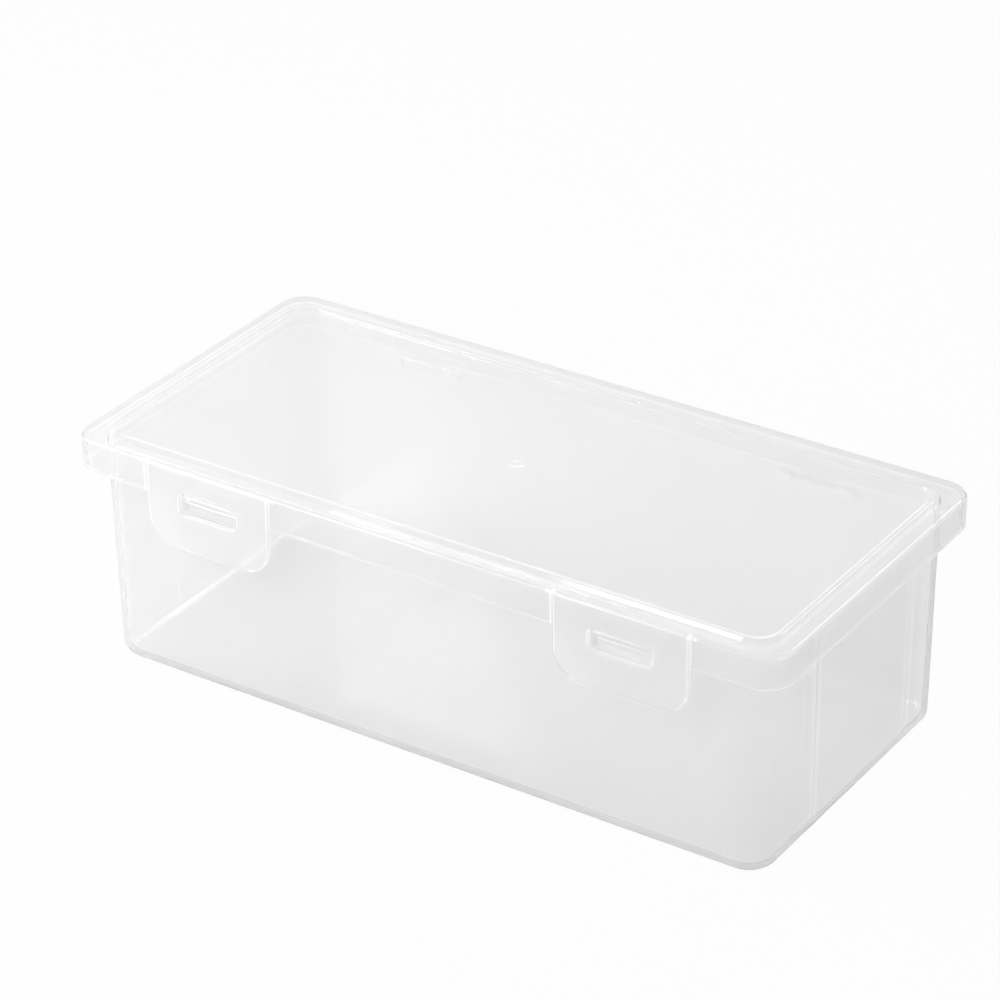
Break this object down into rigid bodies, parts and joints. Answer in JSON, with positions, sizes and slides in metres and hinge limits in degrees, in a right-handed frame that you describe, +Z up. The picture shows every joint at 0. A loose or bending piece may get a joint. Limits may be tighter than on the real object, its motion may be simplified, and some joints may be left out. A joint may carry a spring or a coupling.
{
  "type": "storage box",
  "caption": "Clear rectangular plastic storage box with a hinged flat lid, a raised crest round the lid's panel, and swinging front latches that slot over catches on the wall.",
  "frame": {"origin": "centre of the flat underside of the box", "axes": "+X along the length, the front with the latches faces -Y, +Z up"},
  "size_m": [0.19, 0.09, 0.06],
  "materials": {
    "box_plastic": "clear moulded polypropylene, slightly hazy",
    "lid_plastic": "clear moulded polypropylene, slightly hazy",
    "latch_plastic": "clear moulded polypropylene, glossy",
    "pin_plastic": "clear drawn plastic rod"
  },
  "bodies": {
    "box": {"box_body": "box_plastic", "hinge_pin_left": "pin_plastic", "hinge_pin_right": "pin_plastic"},
    "lid": {"lid": "lid_plastic"},
    "latch_left": {"latch_left": "latch_plastic"},
    "latch_right": {"latch_right": "latch_plastic"}
  },
  "joints": [
    {"name": "lid_hinge", "type": "hinge", "parent": "box", "child": "lid", "pos_m": [0, 0.0439, 0.0498], "axis": [-1, 0, 0], "range_deg": [0, 110]},
    {"name": "latch_left_pivot", "type": "hinge", "parent": "lid", "child": "latch_left", "pos_m": [-0.0556, -0.0442, 0.0587], "axis": [-1, 0, 0], "range_deg": [-3.5, 120]},
    {"name": "latch_right_pivot", "type": "hinge", "parent": "lid", "child": "latch_right", "pos_m": [0.0556, -0.0442, 0.0587], "axis": [-1, 0, 0], "range_deg": [-3.5, 120]}
  ]
}
